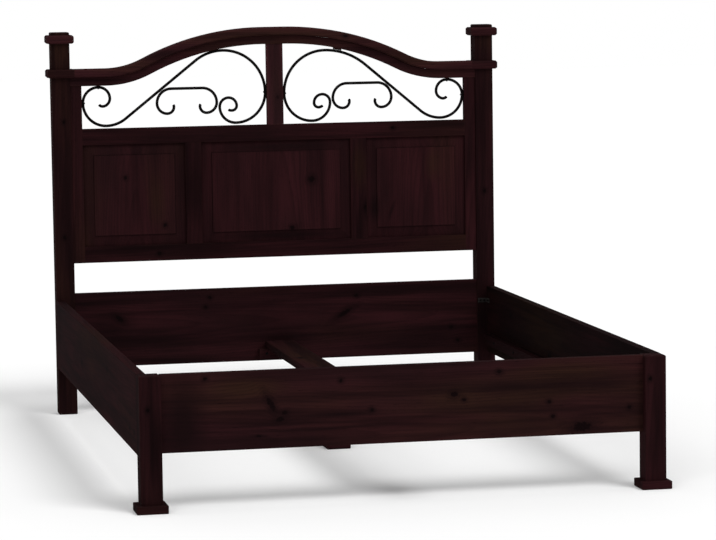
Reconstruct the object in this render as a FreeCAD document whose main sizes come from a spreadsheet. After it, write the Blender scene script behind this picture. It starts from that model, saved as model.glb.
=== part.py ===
import FreeCAD, Part
import math
import os
import re
import Sketcher
from FreeCAD import Rotation, Vector

# A double bed in stained softwood: a camel-back headboard with scrollwork and three raised
# panels, a low foot end, side rails, and a centre rail on a leg. Millimetres, +Z up. The
# foot end faces -Y. The origin is on the floor, under the middle of the whole outline.

# Driving sizes
SIZES = {
    # Mattress and the room round it
    "mattress_width": 1500,
    "mattress_length": 2000,
    "mattress_side_gap": 6,
    "mattress_end_gap": 5,
    # Posts, with their plinths and collars
    "post_size": 64,
    "post_edge": 2,
    "post_end_chamfer": 3,
    "head_post_rise": 157,
    "plinth_projection": 14,
    "plinth_height": 24,
    "plinth_edge": 3.5,
    "collar_projection": 14,
    "top_block_height": 10,
    "moulding_chamfer": 5,
    # Side rails, foot rail and the low board at the head
    "board_edge": 1.5,
    "side_rail_bottom": 162,
    "side_rail_height": 236,
    "side_rail_thickness": 28,
    "foot_rail_height": 228,
    "foot_rail_thickness": 26,
    "foot_rail_setback": 24,
    "head_board_height": 260,
    "head_board_thickness": 26,
    "head_board_setback": 5,
    # Joints between boards and posts
    "tenon_length": 30,
    "tenon_thickness": 12,
    "tenon_shoulder": 15,
    "tenon_gap": 1,
    # Panel frame
    "frame_setback": 5,
    "frame_thickness": 26,
    "frame_bottom": 528,
    "frame_edge": 1,
    "panel_rail_width": 56,
    "panel_height": 354,
    "stile_width": 39,
    "centre_stile_width": 57,
    "muntin_width": 57,
    "centre_panel_width": 532,
    "frame_tenon_length": 20,
    "frame_tenon_shoulder": 10,
    # Raised panels and their grooves
    "groove_depth": 10,
    "groove_width": 8,
    "panel_play": 2,
    "panel_bevel_width": 37,
    "panel_bevel_rise": 5,
    "panel_field_step": 3,
    # Windows beside the posts, and the crest over them
    "window_height": 149,
    "crest_rise": 133,
    "crest_flat_half": 40,
    "crest_end_flat": 125,
    "crest_rail_height": 30,
    "crest_rail_thickness": 30,
    "crest_rail_setback": 2,
    "crest_tenon_shoulder": 5,
    "crest_stub_length": 15,
    "cap_height": 29,
    "cap_back_overhang": 14,
    "glue_line": 0.2,
    # Scrollwork: round iron bar
    "scroll_bar": 10,
    "scroll_tip_round": 2.5,
    "scroll_touch": 0.3,
    "scroll_floor_gap": 4,
    "big_turn_radius": 148,
    "right_scroll_drop": 5,
    "spacer_width": 27,
    "spacer_depth": 18,
    "spacer_shift": 44,
    # Slat base: cleats, centre rail, its leg and its ledger blocks
    "slat_rise": 61,
    "cleat_thickness": 22,
    "cleat_height": 35,
    "cleat_end_gap": 45,
    "centre_rail_width": 100,
    "centre_rail_thickness": 25,
    "centre_rail_gap": 1,
    "leg_size": 50,
    "leg_plinth_projection": 14,
    "block_width": 150,
    "block_height": 34,
    "block_depth": 26,
    # Dowels and corner braces
    "dowel_diameter": 12,
    "dowel_length": 60,
    "dowel_distance": 184,
    "dowel_chamfer": 1,
    "dowel_gap": 0.5,
    "frame_dowel_diameter": 8,
    "frame_dowel_length": 32,
    "brace_leg": 34,
    "brace_width": 16,
    "brace_thickness": 2.5,
    "brace_drop": 50,
    "brace_hole_inset": 11,
    "brace_hole_distance": 14,
    # Screws: shank, head, and bite in the piece that holds the thread
    "screw_fit": 0.1,
    "wood_screw": 4.5,
    "wood_screw_head": 9,
    "wood_screw_rise": 3,
    "wood_screw_bite": 18,
    "head_recess": 4,
    "recess_diameter": 11,
    "brace_screw": 4,
    "brace_screw_head": 7.5,
    "brace_screw_rise": 2,
    "brace_screw_bite": 9,
    "scroll_screw": 3.5,
    "scroll_screw_head": 6.5,
    "scroll_screw_rise": 2.2,
    "scroll_screw_bite": 13,
}

CLEAT_SCREWS = 7
FRAME_DOWELS = 3

# Turns of the scrolls, from the outside in, each as a share of its named turn and degrees
BIG_CURL_SHARES = {
    "left": ((1, 90), (0.535, 90), (0.3, 90), (0.27, 90), (0.155, 75), (0.22, 45)),
    "right": ((1, 90), (0.655, 90), (0.28, 90), (0.3, 90), (0.16, 85), (0.21, 50)),
}
SMALL_CURL_SHARES = ((0.685, 90), (0.495, 90), (0.345, 78), (0.2, 66))
END_CURL_SHARES = ((1, 90), (0.715, 90), (0.46, 90), (0.25, 35))

# Radii of the flanks that lead from a large scroll's turns to its straight run, as shares of
# the distance between the turns: by the big turn on the left and on the right, by the small one
FLANK_SHARES = {"left": 0.379, "right": 0.536, "small": 0.266}

# Radii of the crest's two bends, as shares of their sum
CREST_BEND_SHARES = {"shoulder": 0.7416, "end": 0.2584}

# Width of the small scroll as a share of the room for it, and its turn as one of its width
SMALL_SCROLL_SHARES = {"width": 0.68, "turn": 0.24}

# A screw's head: crown as a share of its radius, the rest as shares of its rise
SCREW_HEAD_SHARES = {"crown": 0.6, "rim": 0.4, "slot": 0.4, "cut": 0.5}

# Cosine from which an edge counts as running along an axis
ALONG_AXIS = 0.999

# Places worked out from the sizes
PLACES = {
    "inner_width": "mattress_width + 2 * mattress_side_gap",
    "inner_length": "mattress_length + 2 * mattress_end_gap",
    "rail_inner_x": "inner_width / 2",
    "rail_x": "rail_inner_x + side_rail_thickness / 2",
    "outer_x": "rail_inner_x + side_rail_thickness",
    "post_x": "outer_x - post_size / 2",
    "post_inner_x": "outer_x - post_size",
    "head_run": "foot_rail_setback + foot_rail_thickness + inner_length - head_board_setback",
    "overall_length": "plinth_projection + head_run + post_size + collar_projection",
    "foot_y": "plinth_projection - overall_length / 2",
    "foot_back_y": "foot_y + post_size",
    "foot_rail_y": "foot_y + foot_rail_setback",
    "foot_rail_back_y": "foot_rail_y + foot_rail_thickness",
    "head_y": "foot_y + head_run",
    "head_board_y": "head_y + head_board_setback",
    "side_rail_length": "head_y - foot_back_y",
    "rail_top": "side_rail_bottom + side_rail_height",
    "foot_rail_bottom": "rail_top - foot_rail_height",
    # Panel frame
    "frame_mid_y": "head_y + frame_setback + frame_thickness / 2",
    "window_x": "post_inner_x - stile_width",
    "panel_low": "frame_bottom + panel_rail_width",
    "panel_top": "panel_low + panel_height",
    "sill": "panel_top + panel_rail_width",
    "side_panel_width": "window_x - centre_panel_width / 2 - muntin_width",
    "muntin_x": "(centre_panel_width + muntin_width) / 2",
    "side_panel_x": "window_x - side_panel_width / 2",
    "stub_width": "muntin_width - 2 * groove_depth",
    "tongue_reach": "groove_depth - panel_play",
    "frame_dowel_pitch": f"panel_height / {FRAME_DOWELS}",
    # Crest: its level is that of the joint between its two layers, beside the posts
    "crest_under": "sill + window_height",
    "crest_level": "crest_under + crest_rail_height",
    "head_post_height": "crest_level + head_post_rise",
    "crest_run": "post_inner_x - crest_end_flat",
    "crest_bend_run": "crest_run - crest_flat_half",
    "crest_radii": "(crest_bend_run * crest_bend_run + crest_rise * crest_rise) / (2 * crest_rise)",
    "crest_shoulder_radius": f"{CREST_BEND_SHARES['shoulder']} * crest_radii",
    "crest_end_radius": f"{CREST_BEND_SHARES['end']} * crest_radii",
    "crest_cos": "1 - crest_rise / crest_radii",
    "crest_sin": "crest_bend_run / crest_radii",
    "crest_under_peak": "crest_under + crest_rise",
    "under_radius": "crest_shoulder_radius - crest_rail_height",
    "under_centre_z": "crest_under_peak - under_radius",
    "crest_rail_y": "head_y + crest_rail_setback",
    "cap_y": "head_y - collar_projection",
    "cap_depth": "collar_projection + crest_rail_setback + crest_rail_thickness + cap_back_overhang",
    "cap_half": "post_inner_x - collar_projection",
    # Signed offsets of the crest's faces from the joint line
    "cap_upper": "cap_height",
    "cap_lower": "0 * cap_height",
    "crest_rail_upper": "-glue_line",
    "crest_rail_lower": "-crest_rail_height",
    "top_collar_z": "head_post_height - top_block_height - cap_height",
    # Slat base
    "slat_level": "max(foot_rail_bottom; side_rail_bottom) + slat_rise",
    "support_y": "foot_rail_back_y + inner_length / 2",
    "cleat_length": "side_rail_length - 2 * cleat_end_gap",
    "cleat_x": "rail_inner_x - cleat_thickness / 2",
    "cleat_pitch": f"cleat_length / {CLEAT_SCREWS}",
    "block_top": "slat_level - centre_rail_thickness",
    "block_screw_x": "block_width / 3",
    "rail_screw_x": "centre_rail_width / 4",
    "rail_screw_y": "(inner_length - block_depth) / 2",
    "leg_height": "block_top - plinth_height",
    "brace_level": "rail_top - brace_drop",
    # Holes for dowels and screws
    "dowel_low": "(side_rail_height - dowel_distance) / 2",
    "dowel_depth": "dowel_length / 2 + dowel_gap",
    "dowel_hole": "dowel_diameter + 2 * screw_fit",
    "frame_dowel_depth": "frame_dowel_length / 2 + dowel_gap",
    "frame_dowel_hole": "frame_dowel_diameter + 2 * screw_fit",
    "wood_hole": "wood_screw + 2 * screw_fit",
    "wood_pilot": "wood_screw_bite + tenon_gap",
    "brace_hole": "brace_screw + 2 * screw_fit",
    "brace_pilot": "brace_screw_bite + tenon_gap",
    "scroll_hole": "scroll_screw + 2 * screw_fit",
    "scroll_pilot": "scroll_screw_bite + tenon_gap",
    # Scrollwork: its big turn is by the centre stile and its small turn by the outer stile
    "bar_reach": "scroll_bar / 2 + scroll_touch",
    "sill_reach": "scroll_bar / 2 + scroll_floor_gap",
    "small_turn": f"(crest_under - sill - bar_reach - sill_reach) / {1 + SMALL_CURL_SHARES[0][0]}",
    "small_turn_x": "window_x - bar_reach - small_turn",
    "small_turn_z": "sill + sill_reach + small_turn",
    "small_flank": f"{FLANK_SHARES['small']} * turns_apart",
    "small_flank_z": "sill + sill_reach + small_flank",
    "small_top_x": f"window_x - bar_reach - {SMALL_CURL_SHARES[0][0]} * small_turn",
    "scroll_x": "centre_stile_width / 2 + bar_reach",
    "big_turn_x": "scroll_x + big_turn_radius",
    "nest_shift": "big_turn_x - crest_flat_half",
    "turns_apart": "small_turn_x - big_turn_x",
    "small_room": "small_turn_x - small_turn - scroll_x - left_curl_width"
                  " - scroll_bar - scroll_touch",
    "small_scroll_width": f"{SMALL_SCROLL_SHARES['width']} * small_room",
    "small_scroll_turn": f"{SMALL_SCROLL_SHARES['turn']} * small_scroll_width",
    "spacer_radius": "right_flank + bar_reach",
    "spacer_roof_radius": "under_radius - glue_line",
}


def scroll_places(word, drop):
    """Places of one window's scrolls: the flank that nests under the crest, less a drop, the
    straight run's direction and the small scroll."""
    curl_share = BIG_CURL_SHARES[word][0][0] + BIG_CURL_SHARES[word][1][0]
    return {
        f"{word}_flank": f"{FLANK_SHARES[word]} * turns_apart",
        f"{word}_nest": f"under_radius - {word}_flank - bar_reach",
        f"{word}_flank_z": f"under_centre_z - {drop}"
                           f" + sqrt({word}_nest * {word}_nest - nest_shift * nest_shift)",
        f"{word}_turn_z": f"{word}_flank_z + {word}_flank - big_turn_radius",
        f"{word}_turn_fall": f"{word}_turn_z - small_turn_z",
        f"{word}_curl": f"{word}_turn_z - sill - sill_reach",
        f"{word}_curl_width": f"{curl_share} * {word}_curl",
        f"{word}_flanks": f"{word}_flank + small_flank",
        f"{word}_fall": f"{word}_flank_z - small_flank_z",
        f"{word}_gap": f"turns_apart * turns_apart + {word}_fall * {word}_fall",
        f"{word}_run": f"sqrt({word}_gap - {word}_flanks * {word}_flanks)",
        f"{word}_sin": f"({word}_flanks * turns_apart + {word}_run * {word}_fall) / {word}_gap",
        f"{word}_cos": f"({word}_run * turns_apart - {word}_flanks * {word}_fall) / {word}_gap",
        f"{word}_small_x": f"scroll_x + {word}_curl_width"
                           " + scroll_bar + scroll_touch + small_scroll_width / 2",
        f"{word}_corner_x": f"{word}_small_x + small_scroll_width / 2 - small_scroll_turn",
        f"{word}_small_z": f"{word}_flank_z + small_scroll_turn"
                           f" + ({word}_flank - small_scroll_turn - scroll_bar - scroll_touch"
                           f" - ({word}_corner_x - big_turn_x) * {word}_sin) / {word}_cos",
    }


SIDES = {"left": -1, "right": 1}
PLACES.update(scroll_places("left", "0"))
PLACES.update(scroll_places("right", "right_scroll_drop"))

# The origin planes and the signs of their normals
PLANES = {"XY_Plane": 1, "XZ_Plane": -1, "YZ_Plane": 1}

doc = FreeCAD.newDocument("wooden_bed")


# The sheet, the places and the binding of sizes

def make_sheet():
    sheet = doc.addObject("Spreadsheet::Sheet", "Sizes")
    for row, (alias, value) in enumerate(SIZES.items(), start=1):
        sheet.set(f"A{row}", alias)
        sheet.set(f"B{row}", str(value))
        sheet.setAlias(f"B{row}", alias)
    doc.recompute()
    return sheet


def spell(text):
    """Writes plain names as references to the sheet and to the places."""
    def reference(match):
        word = match.group(0)
        if word in SIZES:
            return "Sizes." + word
        if word in PLACES:
            return "Places." + word
        return word
    return re.sub(r"[a-z][a-z_]*", reference, str(text))


def bind(item, name, text):
    item.setExpression(name, spell(text))


def make_places():
    places = doc.addObject("App::VarSet", "Places")
    for name in PLACES:
        places.addProperty("App::PropertyFloat", name)
    for name, text in PLACES.items():
        bind(places, name, text)
    doc.recompute()
    return places


sizes = make_sheet()
places = make_places()


def at(name):
    """The number behind a size or a place."""
    return float(getattr(sizes, name) if name in SIZES else getattr(places, name))


# Bodies, sketches and features

def make_body(label, x, y, z, turn=0):
    body = doc.addObject("PartDesign::Body", label)
    body.Label = label
    body.Placement = FreeCAD.Placement(Vector(), Rotation(Vector(0, 0, 1), turn))
    bind(body, ".Placement.Base.x", x)
    bind(body, ".Placement.Base.y", y)
    bind(body, ".Placement.Base.z", z)
    return body


def origin_item(body, role):
    return next(item for item in body.Origin.OriginFeatures if item.Role == role)


def make_sketch(body, name, plane, across="0", up="0", level="0"):
    """A sketch on one of the body's origin planes, moved to (across, up) at the level."""
    sketch = body.newObject("Sketcher::SketchObject", name)
    sketch.AttachmentSupport = [(origin_item(body, plane), "")]
    sketch.MapMode = "FlatFace"
    bind(sketch, ".AttachmentOffset.Base.x", across)
    bind(sketch, ".AttachmentOffset.Base.y", up)
    bind(sketch, ".AttachmentOffset.Base.z", f"{PLANES[plane]} * ({level})")
    return sketch


def fix(sketch, kind, *points):
    return sketch.addConstraint(Sketcher.Constraint(kind, *points))


def fix_size(sketch, name, text, kind, *points):
    """Adds a dimension, bound to the text; the last of the points is its first value."""
    sketch.renameConstraint(fix(sketch, kind, *points), name)
    bind(sketch, f"Constraints.{name}", text)


def rectangle(body, name, plane, across, up, level):
    """A rectangle that spans the pairs across and up."""
    sketch = make_sketch(body, name, plane, across[0], up[0], level)
    unit = at("post_size")
    corners = [Vector(0, 0), Vector(unit, 0), Vector(unit, unit), Vector(0, unit)]
    for index in range(4):
        sketch.addGeometry(Part.LineSegment(corners[index], corners[(index + 1) % 4]))
    for index in range(4):
        fix(sketch, "Coincident", index, 2, (index + 1) % 4, 1)
    for index, kind in enumerate(("Horizontal", "Vertical", "Horizontal", "Vertical")):
        fix(sketch, kind, index)
    fix(sketch, "Coincident", 0, 1, -1, 1)
    fix_size(sketch, "width", f"({across[1]}) - ({across[0]})", "DistanceX", 0, 1, 0, 2, unit)
    fix_size(sketch, "rise", f"({up[1]}) - ({up[0]})", "DistanceY", 1, 1, 1, 2, unit)
    return sketch


def circle(body, name, plane, diameter, across="0", up="0", level="0"):
    sketch = make_sketch(body, name, plane, across, up, level)
    unit = at("post_size")
    sketch.addGeometry(Part.Circle(Vector(0, 0), Vector(0, 0, 1), unit))
    fix(sketch, "Coincident", 0, 3, -1, 1)
    fix_size(sketch, "diameter", diameter, "Diameter", 0, 2 * unit)
    return sketch


def plane_sign(sketch):
    return PLANES[sketch.AttachmentSupport[0][0].Role]


def pad(body, sketch, length, toward=1):
    """Adds the profile over a length, toward the positive or negative side of its plane."""
    feature = body.newObject("PartDesign::Pad", sketch.Name + "_pad")
    feature.Profile = sketch
    bind(feature, "Length", length)
    feature.Reversed = toward != plane_sign(sketch)
    return feature


def pocket(body, sketch, length, toward=1):
    feature = body.newObject("PartDesign::Pocket", sketch.Name + "_pocket")
    feature.Profile = sketch
    bind(feature, "Length", length)
    feature.Reversed = toward == plane_sign(sketch)
    return feature


def pipe(body, profile, path, order):
    """Sweeps the profile along the path's lines, given by their indices in running order."""
    feature = body.newObject("PartDesign::AdditivePipe", path.Name + "_pipe")
    feature.Profile = profile
    feature.Spine = (path, [f"Edge{index + 1}" for index in order])
    feature.Mode = "Frenet"
    return feature


def add_block(body, name, xs, ys, zs):
    sketch = rectangle(body, name, "XY_Plane", xs, ys, zs[0])
    return pad(body, sketch, f"({zs[1]}) - ({zs[0]})")


def cut_block(body, name, xs, ys, zs):
    sketch = rectangle(body, name, "XY_Plane", xs, ys, zs[0])
    return pocket(body, sketch, f"({zs[1]}) - ({zs[0]})")


def drill(body, name, plane, spot, start, depth, diameter, toward=1):
    """Drills at a spot of the plane, from the start, over a depth."""
    sketch = circle(body, name, plane, diameter, spot[0], spot[1], start)
    return pocket(body, sketch, depth, toward)


def mirror(body, feature, plane="YZ_Plane"):
    copy = body.newObject("PartDesign::Mirrored", feature.Name + "_mirror")
    copy.Originals = [feature]
    copy.MirrorPlane = (origin_item(body, plane), [""])
    body.Tip = copy
    return copy


def repeat(body, feature, axis, length, count):
    """Repeats one feature along an origin axis, over a whole length."""
    copy = body.newObject("PartDesign::LinearPattern", feature.Name + "_row")
    copy.Originals = [feature]
    copy.Direction = (origin_item(body, axis), [""])
    bind(copy, "Length", length)
    copy.Occurrences = count
    body.Tip = copy
    return copy


def dress(body, kind, name, size, test):
    """Rounds or chamfers those edges of the body that pass the test."""
    doc.recompute()
    tip = body.Tip
    names = [f"Edge{index}" for index, edge in enumerate(tip.Shape.Edges, start=1) if test(edge)]
    feature = body.newObject("PartDesign::" + kind, name)
    feature.Base = (tip, names)
    bind(feature, "Radius" if kind == "Fillet" else "Size", size)
    return feature


def runs_along(axis):
    """A test for straight edges that run along x, y or z."""
    def test(edge):
        straight = edge.Curve.TypeId in ("Part::GeomLine", "Part::GeomLineSegment")
        return straight and abs(getattr(edge.Curve.Direction, axis)) > ALONG_AXIS
    return test


def at_level(axis, level):
    """A test for edges that lie wholly at one value of x, y or z."""
    def test(edge):
        ends = [getattr(edge.BoundBox, axis.upper() + end) for end in ("Min", "Max")]
        return all(abs(end - level) < at("screw_fit") for end in ends)
    return test


def centred(width):
    return (f"-({width}) / 2", f"({width}) / 2")


# Posts, plinths and collars

def make_post(label, side, front, bottom, top, free_ends):
    """A square post, chamfered round the free ends at the given heights.

    Its origin is the middle of its bottom face."""
    body = make_body(label, f"{side} * post_x", f"{front} + post_size / 2", bottom)
    add_block(body, label + "_square", centred("post_size"), centred("post_size"),
              ("0", f"{top} - {bottom}"))
    for index, height in enumerate(free_ends):
        dress(body, "Chamfer", f"{label}_end_{index}", "post_end_chamfer", at_level("z", height))
    dress(body, "Fillet", label + "_eased", "post_edge", runs_along("z"))
    return body


def cut_mortise(body, name, side, middle, low, high):
    """A mortise in the post's inner face; its middle is counted from the post's front."""
    deep = "(tenon_length + tenon_gap)"
    xs = (f"post_size / 2 - {deep}", "post_size / 2")
    if side > 0:
        xs = ("-post_size / 2", f"{deep} - post_size / 2")
    ys = (f"{middle} - post_size / 2 - tenon_thickness / 2",
          f"{middle} - post_size / 2 + tenon_thickness / 2")
    cut_block(body, name, xs, ys, (low, high))


def side_rail_holes(body, label, side, bottom, face, toward):
    """Dowel and brace-screw holes in the post's face that the side rail butts against."""
    dowels = drill(body, label + "_dowels", "XZ_Plane",
                   (f"{side} * (rail_x - post_x)", f"side_rail_bottom + dowel_low - {bottom}"),
                   face, "dowel_depth", "dowel_hole", toward)
    repeat(body, dowels, "Z_Axis", "dowel_distance", 2)
    for index in range(2):
        spot = f"{side} * (rail_inner_x - brace_hole_inset - {index} * brace_hole_distance - post_x)"
        drill(body, f"{label}_brace_{index}", "XZ_Plane", (spot, f"brace_level - {bottom}"),
              face, "brace_pilot", "brace_hole", toward)


def head_post(word, side):
    label = f"head_post_{word}"
    body = make_post(label, side, "head_y", "0", "head_post_height", (0, at("head_post_height")))
    cut_mortise(body, label + "_board_mortise", side,
                "head_board_setback + head_board_thickness / 2",
                "side_rail_bottom + tenon_shoulder",
                "side_rail_bottom + head_board_height - tenon_shoulder")
    cut_mortise(body, label + "_crest_mortise", side,
                "crest_rail_setback + crest_rail_thickness / 2",
                "crest_under + crest_tenon_shoulder", "crest_level - crest_tenon_shoulder")
    side_rail_holes(body, label, side, "0", "-post_size / 2", 1)
    dowels = drill(body, label + "_frame_dowels", "YZ_Plane",
                   ("frame_mid_y - head_y - post_size / 2", "panel_low + frame_dowel_pitch / 2"),
                   f"{-side} * post_size / 2", "frame_dowel_depth", "frame_dowel_hole", side)
    repeat(body, dowels, "Z_Axis", f"{FRAME_DOWELS - 1} * frame_dowel_pitch", FRAME_DOWELS)


def foot_post(word, side):
    label = f"foot_post_{word}"
    body = make_post(label, side, "foot_y", "plinth_height", "rail_top",
                     (at("rail_top") - at("plinth_height"),))
    cut_mortise(body, label + "_rail_mortise", side,
                "foot_rail_setback + foot_rail_thickness / 2",
                "foot_rail_bottom + tenon_shoulder - plinth_height",
                "rail_top - tenon_shoulder - plinth_height")
    side_rail_holes(body, label, side, "plinth_height", "post_size / 2", -1)
    drill(body, label + "_plinth_hole", "XY_Plane", ("0", "0"), "0", "wood_pilot", "wood_hole")


def make_plinth(label, x, y, width):
    """A square pad under a post, with eased edges and a recessed screw from below."""
    body = make_body(label, x, y, "0")
    add_block(body, label + "_square", centred(width), centred(width), ("0", "plinth_height"))
    dress(body, "Fillet", label + "_corners", "plinth_edge", runs_along("z"))
    dress(body, "Fillet", label + "_sole", "plinth_edge", at_level("z", 0))
    dress(body, "Fillet", label + "_top", "post_edge", at_level("z", at("plinth_height")))
    drill(body, label + "_hole", "XY_Plane", ("0", "0"), "0", "plinth_height", "wood_hole")
    drill(body, label + "_recess", "XY_Plane", ("0", "0"), "0", "head_recess",
          "recess_diameter")


def make_collar(label, side, z, meets_cap):
    """A moulded ring round a head post, left square on the side where the cap meets it."""
    body = make_body(label, f"{side} * post_x", "head_y + post_size / 2", z)
    outer = centred("post_size + 2 * collar_projection")
    add_block(body, label + "_square", outer, outer, ("0", "cap_height"))
    inward = at_level("x", -side * (at("post_size") / 2 + at("collar_projection")))
    upper, lower = at_level("z", at("cap_height")), at_level("z", 0)
    dress(body, "Chamfer", label + "_moulding", "moulding_chamfer",
          lambda edge: (upper(edge) or lower(edge)) and not (meets_cap and inward(edge)))
    eye = centred("post_size")
    cut_block(body, label + "_eye", eye, eye, ("0", "cap_height"))


# Rails and boards

def make_board(label, y, z, thickness, height):
    """A board on edge between the posts, with a tenon on each end.

    Its origin is the middle of its front bottom edge."""
    body = make_body(label, "0", y, z)
    add_block(body, label + "_board", centred("2 * post_inner_x"), ("0", thickness),
              ("0", height))
    dress(body, "Fillet", label + "_eased", "board_edge", runs_along("x"))
    tenon = add_block(body, label + "_tenon", ("post_inner_x", "post_inner_x + tenon_length"),
                      (f"({thickness} - tenon_thickness) / 2",
                       f"({thickness} + tenon_thickness) / 2"),
                      ("tenon_shoulder", f"{height} - tenon_shoulder"))
    mirror(body, tenon)
    return body


def head_board():
    label = "head_board"
    body = make_board(label, "head_board_y", "side_rail_bottom", "head_board_thickness",
                      "head_board_height")
    spot = ("block_screw_x", "block_top - block_height / 2 - side_rail_bottom")
    mirror(body, drill(body, label + "_hole", "XZ_Plane", spot, "0", "wood_pilot", "wood_hole"))


def foot_rail():
    label = "foot_rail"
    body = make_board(label, "foot_rail_y", "foot_rail_bottom", "foot_rail_thickness",
                      "foot_rail_height")
    spot = ("block_screw_x", "block_top - block_height / 2 - foot_rail_bottom")
    mirror(body, drill(body, label + "_hole", "XZ_Plane", spot, "foot_rail_thickness",
                       "wood_pilot", "wood_hole", -1))


def side_rail(word, side):
    """A side rail; its origin is the middle of its bottom edge at the foot end."""
    label = f"side_rail_{word}"
    body = make_body(label, f"{side} * rail_x", "foot_back_y", "side_rail_bottom")
    add_block(body, label + "_board", centred("side_rail_thickness"), ("0", "side_rail_length"),
              ("0", "side_rail_height"))
    dress(body, "Fillet", label + "_eased", "board_edge", runs_along("y"))
    inner = f"{-side} * side_rail_thickness / 2"
    for end, start, toward in (("foot", "0", 1), ("head", "side_rail_length", -1)):
        dowels = drill(body, f"{label}_{end}_dowels", "XZ_Plane", ("0", "dowel_low"), start,
                       "dowel_depth", "dowel_hole", toward)
        repeat(body, dowels, "Z_Axis", "dowel_distance", 2)
        for index in range(2):
            along = f"{start} + {toward} * (brace_hole_inset + {index} * brace_hole_distance)"
            drill(body, f"{label}_{end}_brace_{index}", "YZ_Plane",
                  (along, "brace_level - side_rail_bottom"), inner, "brace_pilot",
                  "brace_hole", side)
    spot = ("cleat_end_gap + cleat_pitch / 2", "slat_level - cleat_height / 2 - side_rail_bottom")
    hole = drill(body, label + "_cleat_holes", "YZ_Plane", spot, inner, "wood_pilot",
                 "wood_hole", side)
    repeat(body, hole, "Y_Axis", f"{CLEAT_SCREWS - 1} * cleat_pitch", CLEAT_SCREWS)


def slat_cleat(word, side):
    """The strip that carries the slats' ends, screwed to the side rail's inner face."""
    label = f"slat_cleat_{word}"
    body = make_body(label, f"{side} * cleat_x", "foot_back_y + cleat_end_gap",
                     "slat_level - cleat_height")
    add_block(body, label + "_strip", centred("cleat_thickness"), ("0", "cleat_length"),
              ("0", "cleat_height"))
    dress(body, "Fillet", label + "_eased", "frame_edge", runs_along("y"))
    hole = drill(body, label + "_holes", "YZ_Plane", ("cleat_pitch / 2", "cleat_height / 2"),
                 "-cleat_thickness / 2", "cleat_thickness", "wood_hole")
    repeat(body, hole, "Y_Axis", f"{CLEAT_SCREWS - 1} * cleat_pitch", CLEAT_SCREWS)


def ledger_block(word, y):
    """A block on the inner face of an end board; the centre rail's end rests on it."""
    label = f"ledger_block_{word}"
    body = make_body(label, "0", y, "block_top - block_height")
    add_block(body, label + "_block", centred("block_width"), ("0", "block_depth"),
              ("0", "block_height"))
    dress(body, "Fillet", label + "_eased", "frame_edge", runs_along("x"))
    mirror(body, drill(body, label + "_face_hole", "XZ_Plane",
                       ("block_screw_x", "block_height / 2"), "0", "block_depth", "wood_hole"))
    mirror(body, drill(body, label + "_top_hole", "XY_Plane",
                       ("rail_screw_x", "block_depth / 2"), "block_height", "wood_pilot",
                       "wood_hole", -1))


def centre_rail():
    """The flat board under the middle of the slats; its origin is over the leg."""
    label = "centre_rail"
    body = make_body(label, "0", "support_y", "block_top")
    add_block(body, label + "_board", centred("centre_rail_width"),
              centred("inner_length - 2 * centre_rail_gap"), ("0", "centre_rail_thickness"))
    dress(body, "Fillet", label + "_eased", "board_edge", runs_along("y"))
    spots = [("0", "0")]
    spots += [(f"{x} * rail_screw_x", f"{y} * rail_screw_y") for x in (-1, 1) for y in (-1, 1)]
    for index, spot in enumerate(spots):
        drill(body, f"{label}_hole_{index}", "XY_Plane", spot, "0", "centre_rail_thickness",
              "wood_hole")
        drill(body, f"{label}_recess_{index}", "XY_Plane", spot, "centre_rail_thickness",
              "head_recess", "recess_diameter", -1)


def centre_leg():
    label = "centre_leg"
    body = make_body(label, "0", "support_y", "plinth_height")
    add_block(body, label + "_square", centred("leg_size"), centred("leg_size"),
              ("0", "leg_height"))
    dress(body, "Fillet", label + "_eased", "post_edge", runs_along("z"))
    drill(body, label + "_top_hole", "XY_Plane", ("0", "0"), "leg_height", "wood_pilot",
          "wood_hole", -1)
    drill(body, label + "_plinth_hole", "XY_Plane", ("0", "0"), "0", "wood_pilot", "wood_hole")


# Panel frame: the origins of its members lie in its middle plane

def frame_member(label, x, z, width, height, grain):
    body = make_body(label, x, "frame_mid_y", z)
    add_block(body, label + "_bar", centred(width), centred("frame_thickness"), ("0", height))
    dress(body, "Fillet", label + "_eased", "frame_edge", runs_along(grain))
    return body


def outer_stile(word, side):
    label = f"outer_stile_{word}"
    tall = "(crest_under - frame_bottom)"
    body = frame_member(label, f"{side} * (window_x + stile_width / 2)", "frame_bottom",
                        "stile_width", tall, "z")
    add_block(body, label + "_stub", centred("stile_width - 2 * frame_tenon_shoulder"),
              centred("groove_width"), (tall, f"{tall} + crest_stub_length"))

    def cut_inner_face(name, deep, low, high):
        xs = ("-stile_width / 2", f"{deep} - stile_width / 2")
        if side < 0:
            xs = (f"stile_width / 2 - {deep}", "stile_width / 2")
        cut_block(body, name, xs, centred("groove_width"), (low, high))

    for name, low in (("low", "0"), ("high", "panel_top - frame_bottom")):
        cut_inner_face(f"{label}_{name}_mortise", "(frame_tenon_length + tenon_gap)",
                       f"{low} + frame_tenon_shoulder",
                       f"{low} + panel_rail_width - frame_tenon_shoulder")
    cut_inner_face(label + "_groove", "groove_depth",
                   "panel_low - groove_depth - frame_bottom",
                   "panel_top + groove_depth - frame_bottom")
    drill(body, label + "_scroll_hole", "YZ_Plane", ("0", "small_turn_z - frame_bottom"),
          f"{-side} * stile_width / 2", "scroll_pilot", "scroll_hole", side)
    dowels = drill(body, label + "_dowels", "YZ_Plane",
                   ("0", "panel_rail_width + frame_dowel_pitch / 2"),
                   f"{side} * stile_width / 2", "frame_dowel_depth", "frame_dowel_hole", -side)
    repeat(body, dowels, "Z_Axis", f"{FRAME_DOWELS - 1} * frame_dowel_pitch", FRAME_DOWELS)


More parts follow.
